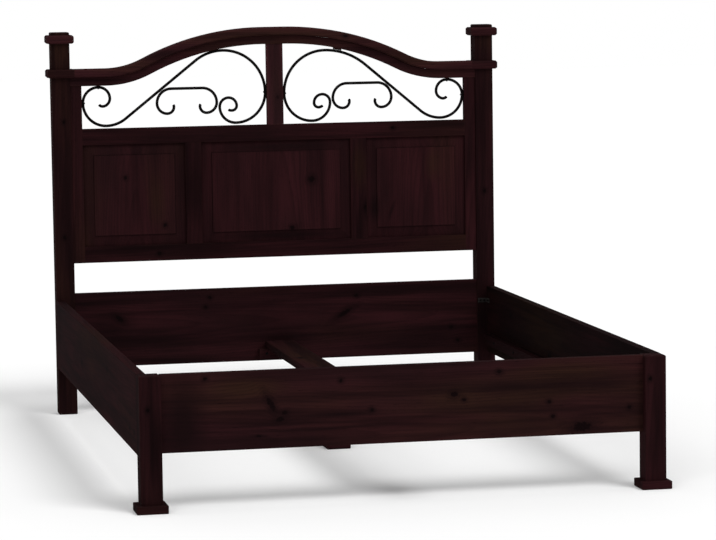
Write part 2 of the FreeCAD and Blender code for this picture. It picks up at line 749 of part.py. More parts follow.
def centre_stile():
    label = "centre_stile"
    tall = "(crest_under_peak - sill)"
    body = frame_member(label, "0", "sill", "centre_stile_width", tall, "z")
    width = centred("centre_stile_width - 2 * frame_tenon_shoulder")
    add_block(body, label + "_foot_stub", width, centred("groove_width"),
              ("-frame_tenon_length", "0"))
    add_block(body, label + "_head_stub", width, centred("groove_width"),
              (tall, f"{tall} + crest_stub_length"))
    for word, side in SIDES.items():
        drill(body, f"{label}_{word}_hole", "YZ_Plane", ("0", f"{word}_turn_z - sill"),
              f"{side} * centre_stile_width / 2", "scroll_pilot", "scroll_hole", -side)


def panel_rail(word, z, groove_low):
    """A rail between the outer stiles, grooved for the panels along one edge."""
    label = f"panel_rail_{word}"
    body = frame_member(label, "0", z, "2 * window_x", "panel_rail_width", "x")
    tenon = add_block(body, label + "_tenon", ("window_x", "window_x + frame_tenon_length"),
                      centred("groove_width"),
                      ("frame_tenon_shoulder", "panel_rail_width - frame_tenon_shoulder"))
    mirror(body, tenon)
    cut_block(body, label + "_groove", centred("2 * window_x"), centred("groove_width"),
              (groove_low, f"{groove_low} + groove_depth"))
    return body


def upper_panel_rail():
    body = panel_rail("upper", "panel_top", "0")
    cut_block(body, "panel_rail_upper_mortise",
              centred("centre_stile_width - 2 * frame_tenon_shoulder"), centred("groove_width"),
              ("panel_rail_width - frame_tenon_length - tenon_gap", "panel_rail_width"))


def panel_muntin(word, side):
    label = f"panel_muntin_{word}"
    body = frame_member(label, f"{side} * muntin_x", "panel_low", "muntin_width",
                        "panel_height", "z")
    stub = "(groove_depth - tenon_gap)"
    add_block(body, label + "_stubs", centred("stub_width"), centred("groove_width"),
              (f"-{stub}", f"panel_height + {stub}"))
    groove = cut_block(body, label + "_groove", ("stub_width / 2", "muntin_width / 2"),
                       centred("groove_width"), ("0", "panel_height"))
    mirror(body, groove)


def raised_panel(word, x, width):
    """A panel with a tongue all round, a sloping bevel, a small step and a flat field."""
    label = f"panel_{word}"
    body = make_body(label, x, "frame_mid_y", "panel_low")
    tongue = rectangle(body, label + "_tongue", "XZ_Plane", centred(f"{width} + 2 * tongue_reach"),
                       ("-tongue_reach", "panel_height + tongue_reach"), "groove_width / 2")
    pad(body, tongue, "groove_width", -1)
    sight = rectangle(body, label + "_sight", "XZ_Plane", centred(width), ("0", "panel_height"),
                      "-groove_width / 2")
    inner = centred(f"{width} - 2 * panel_bevel_width")
    zs = ("panel_bevel_width", "panel_height - panel_bevel_width")
    crown = rectangle(body, label + "_crown", "XZ_Plane", inner, zs,
                      "-groove_width / 2 - panel_bevel_rise")
    bevel = body.newObject("PartDesign::AdditiveLoft", label + "_bevel")
    bevel.Profile = sight
    bevel.Sections = [crown]
    bevel.Ruled = True
    body.Tip = bevel
    field = rectangle(body, label + "_field", "XZ_Plane", inner, zs,
                      "-groove_width / 2 - panel_bevel_rise")
    pad(body, field, "panel_field_step", -1)


# Crest: two curved layers that share one joint line

def crest_chain(offset, end_x):
    """One edge of the crest, from the middle to its end: a flat, a shoulder, a dip, a flat."""
    joint = at("crest_level") - at("sill")
    peak = joint + at("crest_rise")
    flat, run = at("crest_flat_half"), at("crest_run")
    shoulder, dip = at("crest_shoulder_radius"), at("crest_end_radius")
    lean = math.atan2(at("crest_sin"), at("crest_cos"))
    up = math.pi / 2
    crown = Part.Circle(Vector(flat, peak - shoulder), Vector(0, 0, 1), shoulder + offset)
    hollow = Part.Circle(Vector(run, joint + dip), Vector(0, 0, 1), dip - offset)
    return [Part.LineSegment(Vector(0, peak + offset), Vector(flat, peak + offset)),
            Part.ArcOfCircle(crown, up - lean, up),
            Part.ArcOfCircle(hollow, 3 * up - lean, 3 * up),
            Part.LineSegment(Vector(run, joint + offset), Vector(end_x, joint + offset))]


def fix_crest_chain(sketch, word, first, offset, end_x):
    flat, crown, dip, tail = range(first, first + 4)
    shapes = sketch.Geometry
    fix(sketch, "Tangent", flat, 2, crown, 2)
    fix(sketch, "Tangent", crown, 1, dip, 1)
    fix(sketch, "Tangent", dip, 2, tail, 1)
    fix(sketch, "Horizontal", flat)
    fix(sketch, "Horizontal", tail)
    fix(sketch, "PointOnObject", flat, 1, -2)
    fix_size(sketch, word + "_flat", "crest_flat_half", "DistanceX", flat, 1, flat, 2,
             shapes[flat].EndPoint.x)
    fix_size(sketch, word + "_crown", f"crest_shoulder_radius + {offset}", "Radius", crown,
             shapes[crown].Radius)
    fix_size(sketch, word + "_dip", f"crest_end_radius - {offset}", "Radius", dip,
             shapes[dip].Radius)
    fix_size(sketch, word + "_peak", f"crest_level + crest_rise - sill + {offset}", "DistanceY",
             -1, 1, flat, 1, shapes[flat].StartPoint.y)
    fix_size(sketch, word + "_level", f"crest_level - sill + {offset}", "DistanceY",
             -1, 1, tail, 2, shapes[tail].EndPoint.y)
    fix_size(sketch, word + "_end", end_x, "DistanceX", -1, 1, tail, 2,
             shapes[tail].EndPoint.x)


def crest_layer(label, y, upper, lower, end_x, depth):
    """One layer of the crest between two offsets from the joint line: half of it, mirrored.

    Its origin is on the sill, at the layer's front."""
    body = make_body(label, "0", y, "sill")
    sketch = make_sketch(body, label + "_outline", "XZ_Plane")
    top, low = crest_chain(at(upper), at(end_x)), crest_chain(at(lower), at(end_x))
    end = Part.LineSegment(top[3].EndPoint, low[3].EndPoint)
    middle = Part.LineSegment(low[0].StartPoint, top[0].StartPoint)
    sketch.addGeometry(top + low + [end, middle])
    fix_crest_chain(sketch, "top", 0, upper, end_x)
    fix_crest_chain(sketch, "low", len(top), lower, end_x)
    fix(sketch, "Coincident", 3, 2, 8, 1)
    fix(sketch, "Coincident", 8, 2, 7, 2)
    fix(sketch, "Coincident", 4, 1, 9, 1)
    fix(sketch, "Coincident", 9, 2, 0, 1)
    mirror(body, pad(body, sketch, depth))
    return body


def crest_cap():
    label = "crest_cap"
    body = crest_layer(label, "cap_y", "cap_upper", "cap_lower", "cap_half", "cap_depth")
    front, upright = at_level("y", 0), runs_along("z")
    dress(body, "Chamfer", label + "_moulding", "moulding_chamfer",
          lambda edge: front(edge) and not upright(edge))


def crest_rail():
    label = "crest_rail"
    body = crest_layer(label, "crest_rail_y", "crest_rail_upper", "crest_rail_lower",
                       "post_inner_x", "crest_rail_thickness")
    front, upright = at_level("y", 0), runs_along("z")
    dress(body, "Chamfer", label + "_eased", "board_edge",
          lambda edge: front(edge) and not upright(edge))
    tenon = add_block(body, label + "_tenon", ("post_inner_x", "post_inner_x + tenon_length"),
                      ("(crest_rail_thickness - tenon_thickness) / 2",
                       "(crest_rail_thickness + tenon_thickness) / 2"),
                      ("crest_under + crest_tenon_shoulder - sill",
                       "crest_level - crest_tenon_shoulder - sill"))
    mirror(body, tenon)
    middle = "(frame_mid_y - crest_rail_y)"
    ys = (f"{middle} - groove_width / 2", f"{middle} + groove_width / 2")
    deep = "crest_stub_length + tenon_gap"
    outer = cut_block(body, label + "_outer_mortise",
                      ("window_x + frame_tenon_shoulder", "post_inner_x - frame_tenon_shoulder"),
                      ys, ("crest_under - sill", f"crest_under - sill + {deep}"))
    mirror(body, outer)
    cut_block(body, label + "_centre_mortise",
              centred("centre_stile_width - 2 * frame_tenon_shoulder"), ys,
              ("crest_under_peak - sill", f"crest_under_peak - sill + {deep}"))
    mirror(body, drill(body, label + "_scroll_hole", "XY_Plane", ("small_top_x", middle),
                       "crest_under - sill", "scroll_pilot", "scroll_hole"))


# Scrollwork: round bar along chains of tangent arcs in the panel frame's middle plane

def draw_turns(sketch, heading, steps, loose=()):
    """Draws a chain from the origin along a heading in degrees.

    Each step is (name, share, turn): an arc of a share of the named size that turns left for
    a positive turn, or a straight run for no turn. Arcs keep their turns but for the loose
    steps. Returns the index of the first step, each step's far end, and the chain's tip."""
    point, angle = Vector(0, 0), math.radians(heading)
    base = sketch.GeometryCount
    ends = []
    for index, (name, share, turn) in enumerate(steps, base):
        size, spin = share * at(name), math.radians(turn)
        if turn == 0:
            goal = point + Vector(math.cos(angle), math.sin(angle)) * size
            sketch.addGeometry(Part.LineSegment(point, goal))
            near, far = 1, 2
        else:
            hand = math.copysign(1, turn)
            centre = point + Vector(-math.sin(angle), math.cos(angle)) * size * hand
            first = angle - hand * math.pi / 2
            ring = Part.Circle(centre, Vector(0, 0, 1), size)
            sketch.addGeometry(Part.ArcOfCircle(ring, *sorted((first, first + spin))))
            goal = centre + Vector(math.cos(first + spin), math.sin(first + spin)) * size
            near, far = (1, 2) if turn > 0 else (2, 1)
            fix_size(sketch, f"turn_{index}", f"{share} * {name}", "Radius", index, size)
            if index - base not in loose:
                fix(sketch, "Angle", index, abs(spin))
        if ends:
            fix(sketch, "Tangent", index - 1, ends[-1], index, near)
        else:
            fix(sketch, "Coincident", index, near, -1, 1)
        ends.append(far)
        point, angle = goal, angle + spin
    return base, ends, point


def round_tips(body, label, tips):
    dress(body, "Fillet", label + "_tips", "scroll_tip_round",
          lambda edge: any(edge.CenterOfMass.distanceToPoint(tip) < at("scroll_touch")
                           for tip in tips))


def side_seam(section):
    """Turns a bar's section a quarter, so that its seam is clear of the screw holes."""
    section.AttachmentOffset = FreeCAD.Placement(Vector(), Rotation(Vector(0, 0, 1), 90))
    return section


def large_scroll(word, turned):
    """An S scroll; its origin is where its big turn meets the centre stile."""
    label = f"large_scroll_{word}"
    side = SIDES[word]
    body = make_body(label, f"{side} * scroll_x", "frame_mid_y", f"{word}_turn_z", turned)
    section = side_seam(circle(body, label + "_section", "XY_Plane", "scroll_bar"))
    spine = make_sketch(body, label + "_spine", "XZ_Plane")
    steps = [(f"{word}_curl", share, turn) for share, turn in BIG_CURL_SHARES[word]]
    curl, _, curl_tip = draw_turns(spine, -90, steps)
    fix(spine, "Horizontal", curl, 3, curl, 1)

    lean = math.degrees(math.atan2(at(f"{word}_sin"), at(f"{word}_cos")))
    steps = [("big_turn_radius", 1, -90), (f"{word}_flank", 1, -lean), (f"{word}_run", 1, 0),
             ("small_flank", 1, lean), ("small_turn", 1, 90)]
    steps += [("small_turn", share, turn) for share, turn in SMALL_CURL_SHARES]
    sweep, ends, sweep_tip = draw_turns(spine, 90, steps, loose=(1, 3))
    last_turn = sweep + 4
    fix(spine, "Horizontal", sweep, 3, sweep, 2)
    fix(spine, "Vertical", last_turn, 3, last_turn - 1, ends[3])
    fix_size(spine, "reach", "turns_apart + big_turn_radius", "DistanceX", -1, 1, last_turn, 3,
             at("turns_apart") + at("big_turn_radius"))
    fix_size(spine, "fall", f"{word}_turn_fall", "DistanceY", last_turn, 3, -1, 1,
             at(f"{word}_turn_fall"))
    pipe(body, section, spine, (*reversed(range(sweep)), *range(sweep, spine.GeometryCount)))

    round_tips(body, label, [Vector(tip.x, 0, tip.y) for tip in (curl_tip, sweep_tip)])
    depth = "3 * scroll_bar"
    drill(body, label + "_inner_hole", "YZ_Plane", ("0", "0"), "-1.5 * scroll_bar", depth,
          "scroll_hole")
    drill(body, label + "_outer_hole", "YZ_Plane", ("0", f"-{word}_turn_fall"),
          "window_x - scroll_touch - 2 * scroll_bar - scroll_x", depth, "scroll_hole")
    drill(body, label + "_top_hole", "XY_Plane", ("small_top_x - scroll_x", "0"),
          f"crest_under - scroll_touch - 2 * scroll_bar - {word}_turn_z", depth, "scroll_hole")


def small_scroll(word):
    """A scroll with a straight top and a curl at each end; its origin is mid top."""
    label = f"small_scroll_{word}"
    body = make_body(label, f"{SIDES[word]} * {word}_small_x", "frame_mid_y",
                     f"{word}_small_z")
    section = circle(body, label + "_section", "YZ_Plane", "scroll_bar")
    half = make_sketch(body, label + "_half", "XZ_Plane")
    flat = at("small_scroll_width") / 2 - at("small_scroll_turn")
    steps = [("small_scroll_width", flat / at("small_scroll_width"), 0)]
    steps += [("small_scroll_turn", share, -turn) for share, turn in END_CURL_SHARES]
    tip = draw_turns(half, 0, steps)[2]
    fix(half, "Horizontal", 0)
    fix_size(half, "flat", "small_scroll_width / 2 - small_scroll_turn", "DistanceX",
             0, 1, 0, 2, flat)
    mirror(body, pipe(body, section, half, range(half.GeometryCount)))
    round_tips(body, label, [Vector(x, 0, tip.y) for x in (-tip.x, tip.x)])


def scroll_spacer():
    """The wooden block over the right flank; its origin is the flank's middle."""
    label = "scroll_spacer"
    body = make_body(label, "big_turn_x", "frame_mid_y", "right_flank_z")
    sketch = make_sketch(body, label + "_outline", "XZ_Plane", level="-spacer_depth / 2")
    shift, width = at("spacer_shift"), at("spacer_width")
    floor, roof = at("spacer_radius"), at("spacer_roof_radius")
    roof_centre = Vector(-at("nest_shift"), at("under_centre_z") - at("right_flank_z"))
    lines = [shift - width / 2, shift + width / 2]
    low = [Vector(x, math.sqrt(floor ** 2 - x ** 2)) for x in lines]
    high = [Vector(x, roof_centre.y + math.sqrt(roof ** 2 - (x - roof_centre.x) ** 2))
            for x in lines]
    angles = [math.atan2(point.y, point.x) for point in low]
    slopes = [math.atan2(point.y - roof_centre.y, point.x - roof_centre.x) for point in high]
    sketch.addGeometry([
        Part.ArcOfCircle(Part.Circle(Vector(0, 0), Vector(0, 0, 1), floor), *sorted(angles)),
        Part.ArcOfCircle(Part.Circle(roof_centre, Vector(0, 0, 1), roof), *sorted(slopes)),
        Part.LineSegment(low[0], high[0]), Part.LineSegment(low[1], high[1])])
    fix(sketch, "Coincident", 0, 3, -1, 1)
    for line, end in ((2, 2), (3, 1)):
        fix(sketch, "Coincident", 0, end, line, 1)
        fix(sketch, "Coincident", 1, end, line, 2)
        fix(sketch, "Vertical", line)
    fix_size(sketch, "floor", "spacer_radius", "Radius", 0, floor)
    fix_size(sketch, "roof", "spacer_roof_radius", "Radius", 1, roof)
    fix_size(sketch, "roof_x", "nest_shift", "DistanceX", 1, 3, -1, 1, -roof_centre.x)
    fix_size(sketch, "roof_z", "right_flank_z - under_centre_z", "DistanceY", 1, 3, -1, 1,
             -roof_centre.y)
    fix_size(sketch, "near", "spacer_shift - spacer_width / 2", "DistanceX", -1, 1, 2, 1,
             lines[0])
    fix_size(sketch, "far", "spacer_shift + spacer_width / 2", "DistanceX", -1, 1, 3, 1,
             lines[1])
    pad(body, sketch, "spacer_depth")


# Corner braces: an angle of steel strip in each inner corner between post and side rail

def corner_brace(word, x, y, turned):
    """Its origin is in the corner, at half its width; its legs run along +x and +y."""
    label = f"corner_brace_{word}"
    body = make_body(label, x, y, "brace_level", turned)
    height = centred("brace_width")
    add_block(body, label + "_leg", ("0", "brace_leg"), ("0", "brace_thickness"), height)
    add_block(body, label + "_other_leg", ("0", "brace_thickness"), ("0", "brace_leg"), height)
    upright = runs_along("z")

    def bend(name, corner, radius):
        dress(body, "Fillet", f"{label}_{name}", radius,
              lambda edge: upright(edge)
              and edge.CenterOfMass.distanceToPoint(corner) < at("screw_fit"))

    bend("outer_bend", Vector(), "brace_thickness")
    bend("inner_bend", Vector(at("brace_thickness"), at("brace_thickness")), "frame_edge")
    for index in range(2):
        along = f"brace_hole_inset + {index} * brace_hole_distance"
        drill(body, f"{label}_hole_{index}", "XZ_Plane", (along, "0"), "0", "brace_thickness",
              "brace_hole")
        drill(body, f"{label}_other_hole_{index}", "YZ_Plane", (along, "0"), "0",
              "brace_thickness", "brace_hole")


# Fasteners: each kind is one group of separate solids

def revolve(profile):
    """A solid from a half outline in (radius, height) pairs, turned round the Z axis."""
    points = [Vector(radius, 0, height) for radius, height in profile]
    face = Part.Face(Part.makePolygon(points + points[:1]))
    return face.revolve(Vector(0, 0, 0), Vector(0, 0, 1), 360)


def screw(kind, length):
    """A slotted, rounded-head screw along +Z; the underside of its head is at 0."""
    shank, head, rise = at(kind) / 2, at(kind + "_head") / 2, at(kind + "_rise")
    crown = head * SCREW_HEAD_SHARES["crown"]
    rim = rise * SCREW_HEAD_SHARES["rim"]
    width = rise * SCREW_HEAD_SHARES["slot"]
    depth = rise * SCREW_HEAD_SHARES["cut"]
    body = revolve([(0, -rise), (crown, -rise), (head, -rim), (head, 0),
                    (shank, 0), (shank, length - 2 * shank), (0, length)])
    return body.cut(Part.makeBox(2 * head, width, depth, Vector(-head, -width / 2, -rise)))


def dowel(diameter, length):
    """A dowel along +Z with chamfered ends, centred on the origin."""
    radius, half, bevel = at(diameter) / 2, at(length) / 2, at("dowel_chamfer")
    return revolve([(0, -half), (radius - bevel, -half), (radius, bevel - half),
                    (radius, half - bevel), (radius - bevel, half), (0, half)])


def group(label, pieces):
    """Places copies of solids, each given as (solid, point, direction), in one compound."""
    solids = []
    for solid, point, direction in pieces:
        copy = solid.copy()
        copy.Placement = FreeCAD.Placement(point, Rotation(Vector(0, 0, 1), direction))
        solids.append(copy)
    feature = doc.addObject("Part::Feature", label)
    feature.Label = label
    feature.Shape = Part.makeCompound(solids)


def side_rail_dowels():
    piece = dowel("dowel_diameter", "dowel_length")
    low = at("side_rail_bottom") + at("dowel_low")
    spots = [Vector(side * at("rail_x"), y, z) for side in SIDES.values()
             for y in (at("foot_back_y"), at("head_y")) for z in (low, low + at("dowel_distance"))]
    group("side_rail_dowels", [(piece, spot, Vector(0, 1, 0)) for spot in spots])


def frame_dowels():
    piece = dowel("frame_dowel_diameter", "frame_dowel_length")
    pitch = at("frame_dowel_pitch")
    spots = [Vector(side * at("post_inner_x"), at("frame_mid_y"),
                    at("panel_low") + (index + 0.5) * pitch)
             for side in SIDES.values() for index in range(FRAME_DOWELS)]
    group("frame_dowels", [(piece, spot, Vector(1, 0, 0)) for spot in spots])


def brace_screws():
    off = at("brace_thickness")
    piece = screw("brace_screw", off + at("brace_screw_bite"))
    pieces = []
    for side in SIDES.values():
        for face, toward in ((at("foot_back_y"), -1), (at("head_y"), 1)):
            for index in range(2):
                along = at("brace_hole_inset") + index * at("brace_hole_distance")
                in_post = Vector(side * (at("rail_inner_x") - along), face - toward * off,
                                 at("brace_level"))
                in_rail = Vector(side * (at("rail_inner_x") - off), face - toward * along,
                                 at("brace_level"))
                pieces.append((piece, in_post, Vector(0, toward, 0)))
                pieces.append((piece, in_rail, Vector(side, 0, 0)))
    group("brace_screws", pieces)


def cleat_screws():
    piece = screw("wood_screw", at("cleat_thickness") + at("wood_screw_bite"))
    start = at("foot_back_y") + at("cleat_end_gap")
    group("cleat_screws",
          [(piece, Vector(side * (at("rail_inner_x") - at("cleat_thickness")),
                          start + (index + 0.5) * at("cleat_pitch"),
                          at("slat_level") - at("cleat_height") / 2), Vector(side, 0, 0))
           for side in SIDES.values() for index in range(CLEAT_SCREWS)])


def block_screws():
    piece = screw("wood_screw", at("block_depth") + at("wood_screw_bite"))
    ends = ((at("foot_rail_back_y") + at("block_depth"), -1),
            (at("head_board_y") - at("block_depth"), 1))
    group("block_screws",
          [(piece, Vector(side * at("block_screw_x"), y, at("block_top") - at("block_height") / 2),
            Vector(0, toward, 0)) for y, toward in ends for side in SIDES.values()])


def centre_rail_screws():
    grip = at("centre_rail_thickness") - at("head_recess")
    piece = screw("wood_screw", grip + at("wood_screw_bite"))
    level = at("slat_level") - at("head_recess")
    spots = [Vector(0, at("support_y"), level)]
    spots += [Vector(x * at("rail_screw_x"), at("support_y") + y * at("rail_screw_y"), level)
              for x in (-1, 1) for y in (-1, 1)]
    group("centre_rail_screws", [(piece, spot, Vector(0, 0, -1)) for spot in spots])


def plinth_screws():
    grip = at("plinth_height") - at("head_recess")
    piece = screw("wood_screw", grip + at("wood_screw_bite"))
    foot_y = at("foot_y") + at("post_size") / 2
    spots = [Vector(side * at("post_x"), foot_y, at("head_recess")) for side in SIDES.values()]
    spots.append(Vector(0, at("support_y"), at("head_recess")))
    group("plinth_screws", [(piece, spot, Vector(0, 0, 1)) for spot in spots])


def scroll_screws():
    """Three for each large scroll: into the outer stile, the crest rail and the centre stile."""
    through = at("scroll_touch") + at("scroll_bar") + at("screw_fit")
    piece = screw("scroll_screw", through + at("scroll_screw_bite"))
    y = at("frame_mid_y")
    pieces = []
    for word, side in SIDES.items():
        outer = Vector(side * (at("window_x") - through), y, at("small_turn_z"))
        top = Vector(side * at("small_top_x"), y, at("crest_under") - through)
        inner = Vector(side * (at("centre_stile_width") / 2 + through), y, at(f"{word}_turn_z"))
        pieces += [(piece, outer, Vector(side, 0, 0)), (piece, top, Vector(0, 0, 1)),
                   (piece, inner, Vector(-side, 0, 0))]
    group("scroll_screws", pieces)


# The whole bed

def build():
    for word, side in SIDES.items():
        head_post(word, side)
        foot_post(word, side)
        make_plinth(f"foot_plinth_{word}", f"{side} * post_x", "foot_y + post_size / 2",
                    "post_size + 2 * plinth_projection")
        make_collar(f"top_collar_{word}", side, "top_collar_z", False)
        make_collar(f"crest_collar_{word}", side, "crest_level", True)
        side_rail(word, side)
        slat_cleat(word, side)
        outer_stile(word, side)
        panel_muntin(word, side)
        raised_panel(word, f"{side} * side_panel_x", "side_panel_width")
        large_scroll(word, 0 if side > 0 else 180)
        small_scroll(word)
    head_board()
    foot_rail()
    centre_rail()
    centre_leg()
    make_plinth("centre_leg_plinth", "0", "support_y", "leg_size + 2 * leg_plinth_projection")
    ledger_block("foot", "foot_rail_back_y")
    ledger_block("head", "head_board_y - block_depth")
    panel_rail("lower", "frame_bottom", "panel_rail_width - groove_depth")
    upper_panel_rail()
    centre_stile()
    raised_panel("centre", "0", "centre_panel_width")
    crest_cap()
    crest_rail()
    scroll_spacer()
    corner_brace("foot_left", "-rail_inner_x", "foot_back_y", 0)
    corner_brace("foot_right", "rail_inner_x", "foot_back_y", 90)
    corner_brace("head_right", "rail_inner_x", "head_y", 180)
    corner_brace("head_left", "-rail_inner_x", "head_y", 270)
    side_rail_dowels()
    frame_dowels()
    brace_screws()
    cleat_screws()
    block_screws()
    centre_rail_screws()
    plinth_screws()
    scroll_screws()
    doc.recompute()


def check(pieces):
    """Stops the build for a feature with an error, a bad shape or a step that did nothing."""
    for item in doc.Objects:
        if {"Invalid", "Error"} & set(item.State):
            raise RuntimeError(f"{item.Name} has an error: {item.State}")
        if item.TypeId.startswith("Sketcher") and not item.FullyConstrained:
            raise RuntimeError(f"{item.Name} isn't fully constrained")
        base = getattr(item, "BaseFeature", None)
        if base and item.TypeId != "PartDesign::Body":
            if abs(item.Shape.Volume - base.Shape.Volume) < at("screw_fit") ** 3:
                raise RuntimeError(f"{item.Name} changes nothing")
    for item in pieces:
        if item.Shape.isNull() or not item.Shape.isValid() or not item.Shape.Solids:
            raise RuntimeError(f"{item.Label} has no valid solid")


def export(pieces):
    os.makedirs("parts", exist_ok=True)
    for item in pieces:
        item.Shape.exportStep(f"parts/{item.Label}.step")


build()
nodes = [item for item in doc.Objects if item.TypeId in ("PartDesign::Body", "Part::Feature")]
check(nodes)
export(nodes)
print(f"{len(nodes)} pieces, {sum(len(item.Shape.Solids) for item in nodes)} solids")
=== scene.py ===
import bpy, math
from mathutils import Matrix, Vector

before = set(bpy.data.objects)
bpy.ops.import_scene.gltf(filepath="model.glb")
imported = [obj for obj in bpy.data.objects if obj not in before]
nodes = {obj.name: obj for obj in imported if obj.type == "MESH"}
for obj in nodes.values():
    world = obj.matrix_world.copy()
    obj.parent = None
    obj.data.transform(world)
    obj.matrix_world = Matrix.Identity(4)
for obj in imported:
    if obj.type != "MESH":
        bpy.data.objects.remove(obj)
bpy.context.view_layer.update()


# Node helpers

# Where most values of a noise lie
NOISE_RANGE = (0.3, 0.7)
# The Facing values over which a finish turns dull
GRAZING_RANGE = (0.5, 0.85)


def new_tree(name):
    """A material, its node tree and its shader, which is linked to the tree's output."""
    material = bpy.data.materials.new(name)
    material.use_nodes = True
    tree = material.node_tree
    tree.nodes.clear()
    output = tree.nodes.new("ShaderNodeOutputMaterial")
    shader = tree.nodes.new("ShaderNodeBsdfPrincipled")
    tree.links.new(shader.outputs[0], output.inputs[0])
    return material, tree, shader


def plug(tree, socket, value):
    """Sets a socket to a number or colour, or links it to another socket."""
    if isinstance(value, bpy.types.NodeSocket):
        tree.links.new(value, socket)
    else:
        socket.default_value = value


def add(tree, kind, *values, **settings):
    """Adds a node with its inputs in order, and returns its first output."""
    node = tree.nodes.new("ShaderNode" + kind)
    for name, value in settings.items():
        setattr(node, name, value)
    for socket, value in zip(node.inputs, values):
        plug(tree, socket, value)
    return node.outputs[0]


def calc(tree, operation, *values):
    return add(tree, "Math", *values, operation=operation)


def vector(tree, operation, *values):
    return add(tree, "VectorMath", *values, operation=operation)


def dot(tree, one, two):
    """The dot product, which is the second output of its node."""
    node = tree.nodes.new("ShaderNodeVectorMath")
    node.operation = "DOT_PRODUCT"
    plug(tree, node.inputs[0], one)
    plug(tree, node.inputs[1], two)
    return node.outputs["Value"]


def noise(tree, where, scale, detail, rough):
    node = tree.nodes.new("ShaderNodeTexNoise")
    tree.links.new(where, node.inputs["Vector"])
    node.inputs["Scale"].default_value = scale
    node.inputs["Detail"].default_value = detail
    node.inputs["Roughness"].default_value = rough
    return node.outputs[0]


def spread(tree, value, low, high, to_low=0.0, to_high=1.0):
    """Maps a value from one range to another, with ends held."""
    return add(tree, "MapRange", value, low, high, to_low, to_high)


def blend_colour(tree, factor, one, two):
    node = tree.nodes.new("ShaderNodeMix")
    node.data_type = "RGBA"
    plug(tree, node.inputs["Factor"], factor)
    plug(tree, node.inputs["A"], one)
    plug(tree, node.inputs["B"], two)
    return node.outputs["Result"]


def position(tree):
    """The position in metres; the object's own, which is the shared frame's."""
    return tree.nodes.new("ShaderNodeTexCoord").outputs["Object"]


def relief(tree, shader, height, strength, distance):
    bump = tree.nodes.new("ShaderNodeBump")
    bump.inputs["Strength"].default_value = strength
    bump.inputs["Distance"].default_value = distance
    tree.links.new(height, bump.inputs["Height"])
    tree.links.new(bump.outputs[0], shader.inputs["Normal"])


def satin(tree, shader, pattern, low, high):
    """A roughness that follows a pattern, and is dull where the surface turns away."""
    facing = tree.nodes.new("ShaderNodeLayerWeight").outputs["Facing"]
    rough = spread(tree, pattern, *NOISE_RANGE, low, high)
    plug(tree, shader.inputs["Roughness"], spread(tree, facing, *GRAZING_RANGE, rough, 1.0))


def dress(name, material):
    slots = nodes[name].data.materials
    slots.clear()
    slots.append(material)


# Stained pine: its colours, patterns and boards

DARK = (0.0066, 0.0026, 0.0030)
MIDDLE = (0.0172, 0.0056, 0.0065)
RED = (0.0320, 0.0082, 0.0100)
BROWN = (0.0262, 0.0110, 0.0068)
KNOT = (0.0034, 0.0013, 0.0015)
WORN = (0.0420, 0.0170, 0.0130)
LIGHT = (0.0310, 0.0125, 0.0086)

# Noises: cycles per metre along and across the grain, detail and roughness
WOBBLE = (1.3, 7.0, 3.0, 0.5)
FIBRES = (9.0, 420.0, 4.0, 0.6)
STREAKS = (1.6, 46.0, 3.0, 0.55)
BROAD_STREAKS = (1.1, 17.0, 3.0, 0.6)
CLOUDS = (2.4, 6.5, 3.0, 0.5)
TINTS = (0.9, 3.1, 2.0, 0.5)
PITCH_CANALS = (38.0, 520.0, 1.0, 0.5)
WEAR = (14.0, 30.0, 3.0, 0.6)
# The same in all directions, for the knots: cycles per metre, detail and roughness
RAGGED_EDGE = (130.0, 3.0, 0.6)
CRACKS = (260.0, 2.0, 0.5)
# What moves the noises from board to board, in metres for each step of the seed
SEED_SHIFT = (1.37, 0.71, 0.53)

# Metres
RING_WIDTH = 0.0056
RING_WOBBLE = 0.016
EDGE_WEAR = 0.0035
GRAIN_DEPTH = 0.0005
# How fast the rings leave the board along it
GRAIN_SLOPE = 0.02
# The part of a ring where the late wood darkens, and where it ends
LATE_WOOD = (0.40, 0.90)
LATE_WOOD_END = (1.0, 0.94)
# How much larger than its oval a knot is drawn, how far it parts the rings (softened
# at its middle), and how many rings of its own it has from middle to edge
KNOT_SIZE = 1.3
KNOT_PUSH = 2.0
KNOT_SOFTENER = 0.8
KNOT_RINGS = 3.4
# How much the broad streaks fray a stain's edge
STAIN_FRAY = 1.1

GRAIN_STRENGTH = 0.35
PINE_ROUGHNESS = (0.62, 0.72)
PINE_SPECULAR = 0.015
BEVEL_SAMPLES = 4

PANELS = ("panel_left", "panel_centre", "panel_right")
PANEL_CONTRAST = 0.6
# The axis that a panel's field faces along
PANEL_AXIS = (0, 1, 0)

